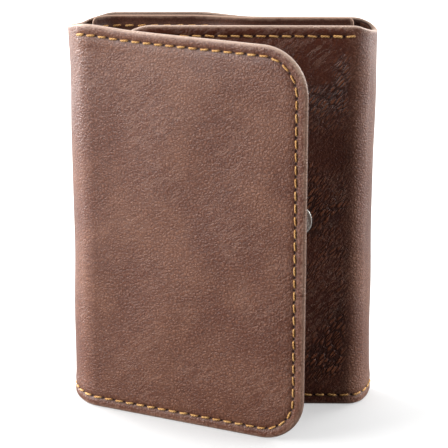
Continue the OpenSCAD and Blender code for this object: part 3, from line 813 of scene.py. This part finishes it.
tree.links.new(ramp(tree, rubbed, 0.0, 1.0, 0.5, 0.8), shader.inputs["Roughness"])
height = maths(tree, "MULTIPLY_ADD", fine.outputs["Pores"], 0.4, fine.outputs["Pebbles"])
set_height(tree, shader, height, 0.00004)


def crease_line(inset):
    """A hot-pressed line 1.6 mm in from an edge, and the edge's own soft roll."""
    return -0.12 * np.exp(-((inset - 1.6) / 0.3) ** 2) + 0.06 * np.exp(-((inset - 0.8) / 0.5) ** 2)


def inner_panel(name, x0, x1, z0, z1, front, thickness, place, r0=1.6, r1=1.6, node=None, owner="back",
                swell=0.0):
    """A leather layer with small round corners and turned edges, its face at the given depth."""
    (x, z, depth, inset, outer, length), faces = panel_points(
        x0, x1, z0, z1, r0, r1, edge_section(thickness, front, 0.4, 15), 1.0)
    depth = depth + (crease_line(inset) + swell * smooth(inset, 0.5, 12)) * outer
    marks = {"hide_at": np.column_stack([x, z + 7 * front, 0 * x]),
             "edge": np.column_stack([inset, x, 0 * x])}
    piece = add_piece(name, place(x, z, depth), faces, marks)
    piece.data.materials.append(inner_hide)
    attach(piece, owner)
    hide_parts(node or name)
    return piece


for name, (low, high) in stack.items():
    inner_panel(name + "_leather", low[0], high[0], low[2], high[2], -low[1], high[1] - low[1], on_stack,
                node=name)

centre_low, centre_high = stack["centre_panel"]
row_x = (np.arange(-12, 12) + 0.5) * stitch_pitch
row_x = row_x[np.abs(row_x) < centre_high[0] - stitch_inset]
row_z = np.full(len(row_x), hide_height - stitch_inset)
piece = stitches("centre_stitches", "back", np.column_stack([row_x, row_z]), 0 * row_x, on_stack,
                 -centre_low[1])
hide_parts("centre_stitching")

# The flap's pocket hangs inside the flap, and the window frame is sewn inside the inner panel.
flap_layer = hide_t / 2 + 1.0
pocket_from, pocket_top = 18.0, 72.0
snap_low, snap_high = (np.array(corner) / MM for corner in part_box("snap_socket"))
flap_foot = on_hide([flap_start], 51.5, 0)[0] / MM
flap_way = np.array([np.cos(np.radians(27.75)), -np.sin(np.radians(27.75))])
snap_run = (snap_low[:2] + snap_high[:2]) / 2 - flap_foot[:2]
snap_run = flap_start + snap_run @ flap_way
snap_height = (snap_low[2] + snap_high[2]) / 2
socket_r = 5.5
inner_panel("flap_pocket_leather", flap_start + pocket_from, snap_run - socket_r - 1.0, 1.0, pocket_top,
            -flap_layer - slot_t, -slot_t, on_hide, node="flap_pocket", owner="flap")

frame_start, frame_end = panel_start + 2, panel_start + panel_length - 1
frame_side, frame_foot = 10.0, 20.0


def window_frame(name, back, thickness):
    """A leather frame as one closed band: rings that go round the outer edge, across the face, round
    the opening's edge and back across the inside, from the outer outline to the opening's."""
    turn = np.radians(np.linspace(90, -90, 7))
    counts = [60, 100]
    outer = ring_points(0.35 * (1 - np.cos(turn)), frame_start, frame_end, 1, hide_height - 1, 1.5, 11,
                        counts)
    opening = ring_points(-0.35 * (1 - np.cos(turn[::-1])), frame_start + frame_side,
                          frame_end - frame_side, frame_foot,
                          hide_height - frame_foot, 2, 2, counts)
    mid = thickness / 2
    x, z = (np.vstack([a, b]) for a, b in zip(outer, opening))
    depth = back - mid + mid * np.concatenate([np.sin(turn), np.sin(turn[::-1])])
    inset = np.concatenate([0.35 * (1 - np.cos(turn)), 0.35 * (1 - np.cos(turn[::-1]))])
    grids = [np.repeat(v, x.shape[1]) for v in (depth, inset)]
    marks = {"hide_at": np.column_stack([x.ravel(), z.ravel(), 0 * x.ravel()]),
             "edge": np.column_stack([grids[1] + 0.6, x.ravel(), 0 * x.ravel()])}
    points = on_hide(-x.ravel(), z.ravel(), grids[0])
    return add_piece(name, points, grid_faces(*x.shape, around=True, shut=True), marks)


frame_back = -hide_t / 2 - lining_t - 0.3
piece = window_frame("window_frame_leather", frame_back, slot_t)
piece.data.materials.append(inner_hide)
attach(piece, "right_panel")
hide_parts("window_frame")

# The window is clear film with a slight haze; its own solid has the right shape.
clear_film, tree, shader = new_material("clear_film", Transmission_Weight=1.0, IOR=1.45, Metallic=0.0)
haze = noise(tree, add_node(tree, "ShaderNodeTexCoord").outputs["Object"], 90.0, 3.0)
tree.links.new(ramp(tree, haze, 0.3, 0.7, 0.08, 0.2), shader.inputs["Roughness"])
colour = mix_colour(tree, haze, linear(236, 240, 242), linear(248, 250, 250))
tree.links.new(colour, shader.inputs["Base Color"])

# ---------------------------------------------------------------------------------------------
# The bill pocket: a twill lining on the back, a loose divider between its two bays, and the strips
# that close their foot and ends. Brown twill, edges folded under.

twill, tree, shader = new_material("brown_twill", Roughness=0.85, Specular_IOR_Level=0.25)
spot = add_node(tree, "ShaderNodeTexCoord").outputs["Object"]
ribs = add_node(tree, "ShaderNodeTexWave", {"Vector": spot, "Scale": 260.0, "Distortion": 0.6, "Detail": 1.0},
                bands_direction="DIAGONAL").outputs["Fac"]
slubs = noise(tree, spot, 300.0, 3.0, 0.6)
colour = mix_colour(tree, ribs, linear(52, 31, 25), linear(92, 62, 50))
colour = mix_colour(tree, ramp(tree, slubs, 0.4, 0.75, 0.0, 0.35), colour, linear(110, 78, 62))
tree.links.new(colour, shader.inputs["Base Color"])
set_height(tree, shader, ribs, 0.0001)


def cloth_layer(name, x0, x1, z0, z1, thickness, place):
    """An upright cloth layer between two widths and heights, placed by a function of x and height."""
    (x, z, depth, inset, outer, length), faces = panel_points(
        x0, x1, z0, z1, 0.8, 0.8, edge_section(thickness, 0.0, 0.2, 4), 1.5)
    piece = add_piece(name, place(x, z, depth), faces)
    piece.data.materials.append(twill)
    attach(piece, "back")
    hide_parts(name.removesuffix("_cloth"))
    return piece


bill_low, bill_high = (np.array(corner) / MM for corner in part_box("bill_lining"))
lining = cloth_layer("bill_lining_cloth", bill_low[0], bill_high[0], bill_low[2], bill_high[2], 0.5,
                     lambda x, z, depth: on_hide(-x, z, depth - hide_t / 2))
divider_low, divider_high = (np.array(corner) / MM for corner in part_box("bill_divider"))


def between_bays(x, z, depth):
    """Half way between the lining's front and the centre panel's back, wherever they stand."""
    front, rear = stack_lean(x, z) + centre_high[1], back_bow(-x, z / hide_height) + bill_low[1]
    ripple = 0.12 * np.sin(x / 5.3 + z / 31) * smooth(z, 30, 95)
    middle = (front + rear) / 2 + ripple * (rear - front - 0.4) / 2.6
    return np.column_stack([x, middle - depth - 0.12, z]) * MM


divider = cloth_layer("bill_divider_cloth", divider_low[0], divider_high[0], divider_low[2], divider_high[2],
                      0.25, between_bays)
for name in ("bay_base", "bay_side_left", "bay_side_right"):
    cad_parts[name].material_slots[0].material = twill
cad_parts["window_film"].material_slots[0].material = clear_film

# ---------------------------------------------------------------------------------------------
# The snap. Nickelled steel: a stud with a dished flange on the inner panel, a socket with two
# spring wires inside the flap, and the cap and rivet that hold them through the leather.

stud_r, stud_h, flange_r, flange_t = 1.9, 1.4, 4.4, 0.5
nickel, tree, shader = new_material("nickel", Metallic=1.0)
spot = add_node(tree, "ShaderNodeTexCoord").outputs["Object"]
smear = noise(tree, spot, 500.0, 4.0, 0.6)
specks = noise(tree, spot, 1500.0, 3.0, 0.6)
colour = mix_colour(tree, ramp(tree, smear, 0.35, 0.7), linear(214, 211, 206), linear(236, 234, 230))
colour = mix_colour(tree, ramp(tree, specks, 0.62, 0.75, 0.0, 0.7), colour, linear(110, 104, 98))
tree.links.new(colour, shader.inputs["Base Color"])
tree.links.new(ramp(tree, smear, 0.3, 0.75, 0.42, 0.58), shader.inputs["Roughness"])
set_height(tree, shader, specks, 0.00002)


def turned_metal(name, owner, node, run, side, profile):
    """A turned piece on the hide: a profile of radius and depth carried once round its own axis, which
    stands out of the leather."""
    radius, depth = np.array(profile, float).T
    round_it = np.linspace(0, 2 * np.pi, 72, endpoint=False)
    x = run + side * (radius[:, None] * np.cos(round_it)).ravel()
    z = snap_height + (radius[:, None] * np.sin(round_it)).ravel()
    faces = grid_faces(len(radius), 72, around=True)
    piece = add_piece(name, on_hide(x, z, np.repeat(depth, 72)), faces, sharp=50)
    piece.data.materials.append(nickel)
    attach(piece, owner)
    if node:
        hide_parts(node)
    return piece


def rounded(points, cuts=3):
    """A profile with its corners cut round, by replacing each corner with two points a quarter of the
    way along its sides, a few times over."""
    line = np.array(points, float)
    for _ in range(cuts):
        nearer, further = 0.75 * line[:-1] + 0.25 * line[1:], 0.25 * line[:-1] + 0.75 * line[1:]
        line = np.vstack([line[:1], np.stack([nearer, further], 1).reshape(-1, 2), line[-1:]])
    return line


stud_run = -(panel_start + stud_from_fold)
base, top = hide_t / 2, hide_t / 2 + flange_t
stud_line = [(0, base - 0.05), (flange_r - 0.1, base - 0.05), (flange_r, base + 0.1), (flange_r, top),
             (flange_r - 0.35, top + 0.02), (flange_r - 0.8, top - 0.22), (stud_r + 0.9, top - 0.3),
             (stud_r - 0.2, top - 0.22), (stud_r - 0.45, top + 0.3), (stud_r - 0.35, top + stud_h * 0.55),
             (stud_r, top + stud_h * 0.72), (stud_r - 0.15, top + stud_h - 0.1),
              (stud_r * 0.55, top + stud_h),
              (0, top + stud_h)]
turned_metal("stud", "right_panel", "snap_stud", stud_run, 1, rounded(stud_line))

inner = -hide_t / 2 - 1.0
socket_h = 1.9
socket_line = [(0, inner + 0.05), (socket_r - 0.1, inner + 0.05), (socket_r, inner - 0.1),
               (socket_r, inner - 0.6),
               (socket_r - 0.5, inner - 0.75), (4.2, inner - 0.8), (3.9, inner - socket_h + 0.15),
               (3.6, inner - socket_h), (2.75, inner - socket_h), (2.4, inner - socket_h + 0.25),
               (2.4, inner - 0.45), (0, inner - 0.42)]
turned_metal("socket", "flap", "snap_socket", snap_run, 1, rounded(socket_line))

way = np.linspace(-1, 1, 25)
for name, turn in (("spring_wire_upper", 1), ("spring_wire_lower", -1)):
    round_it = np.linspace(0, 2 * np.pi, 10, endpoint=False)
    px, pz = 3.0 * way, turn * (2.15 - 0.35 * way ** 2)
    x = snap_run + np.repeat(px, 10)
    z = snap_height + (pz[:, None] + 0.16 * np.cos(round_it)).ravel()
    deep = inner - socket_h + 0.75 + (0 * pz[:, None] + 0.16 * np.sin(round_it)).ravel()
    piece = add_piece(name, on_hide(x, z, deep), grid_faces(25, 10, around=True), sharp=60)
    piece.data.materials.append(nickel)
    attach(piece, "flap")
for name in ("snap_cap", "snap_rivet"):
    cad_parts[name].material_slots[0].material = nickel

# ---------------------------------------------------------------------------------------------
# The studio: a pale sweep that the wallet stands on, a large soft light on the left, a smaller one on
# the right, and the camera a little above the wallet.

bpy.context.scene.view_settings.view_transform = "Standard"

sweep_x = np.linspace(-1.5, 1.5, 2)
quarter = np.linspace(0, np.pi / 2, 24)
sweep_y = np.concatenate([np.linspace(-1.2, 0.7, 20), 0.7 + 0.5 * np.sin(quarter), np.full(10, 1.2)])
sweep_z = np.concatenate([np.zeros(20), 0.5 - 0.5 * np.cos(quarter), np.linspace(0.5, 2.0, 10)])
gx, gy = np.meshgrid(sweep_x, sweep_y)
gz = np.repeat(sweep_z, 2).reshape(gy.shape)
mesh = bpy.data.meshes.new("sweep")
mesh.from_pydata(np.column_stack([gx.ravel(), gy.ravel(), gz.ravel()]), [], grid_faces(*gy.shape))
mesh.shade_smooth()
sweep = bpy.data.objects.new("sweep", mesh)
bpy.context.scene.collection.objects.link(sweep)
paper, tree, shader = new_material("white_paper", Roughness=0.75, Specular_IOR_Level=0.2)
shader.inputs["Emission Color"].default_value = (1, 1, 1, 1)
seen = add_node(tree, "ShaderNodeLightPath").outputs["Is Camera Ray"]
whiteness = mix_colour(tree, seen, (0.14, 0.14, 0.14, 1), (0.45, 0.45, 0.45, 1))
tree.links.new(whiteness, shader.inputs["Base Color"])
spot = add_node(tree, "ShaderNodeSeparateXYZ", {0: add_node(tree, "ShaderNodeTexCoord").outputs["Object"]})
glow = maths(tree, "MULTIPLY", ramp(tree, spot.outputs[1], 0.25, 0.8), 1.6)
tree.links.new(maths(tree, "MULTIPLY_ADD", seen, 0.35, glow), shader.inputs["Emission Strength"])
sweep.data.materials.append(paper)


def soft_light(name, place, aim, size, power):
    """A square soft light at a place, turned to shine on a point."""
    data = bpy.data.lights.new(name, "AREA")
    data.shape, data.size, data.size_y, data.energy = "RECTANGLE", size[0], size[1], power
    light = bpy.data.objects.new(name, data)
    light.location = place
    light.rotation_euler = (Vector(aim) - Vector(place)).to_track_quat("-Z", "Y").to_euler()
    bpy.context.scene.collection.objects.link(light)


soft_light("left_light", (-0.80, -0.26, 0.36), (0, 0, 0.05), (0.55, 0.8), 14.5)
soft_light("right_light", (0.75, -0.10, 0.26), (0, 0, 0.05), (0.35, 0.6), 6)
soft_light("left_rear_light", (-0.62, 0.42, 0.26), (0, 0, 0.05), (0.4, 0.8), 13)
soft_light("right_rear_light", (0.60, 0.45, 0.26), (0, 0, 0.05), (0.35, 0.7), 5)
soft_light("top_light", (0.0, 0.25, 0.95), (0, 0.15, 0), (1.2, 0.8), 8)

world = bpy.data.worlds.new("studio_air")
world.use_nodes = True
world.node_tree.nodes["Background"].inputs[0].default_value = (1, 1, 1, 1)
world.node_tree.nodes["Background"].inputs[1].default_value = 0.03
bpy.context.scene.world = world

camera_data = bpy.data.cameras.new("camera")
camera_data.lens, camera_data.sensor_width = 146.99, 36.0
camera = bpy.data.objects.new("camera", camera_data)
camera.location = (0.00096, -0.47298, 0.18502)
camera.rotation_euler = (Vector((0.00022, 0, 0.04684)) - camera.location).to_track_quat("-Z", "Y").to_euler()
bpy.context.scene.collection.objects.link(camera)
bpy.context.scene.camera = camera
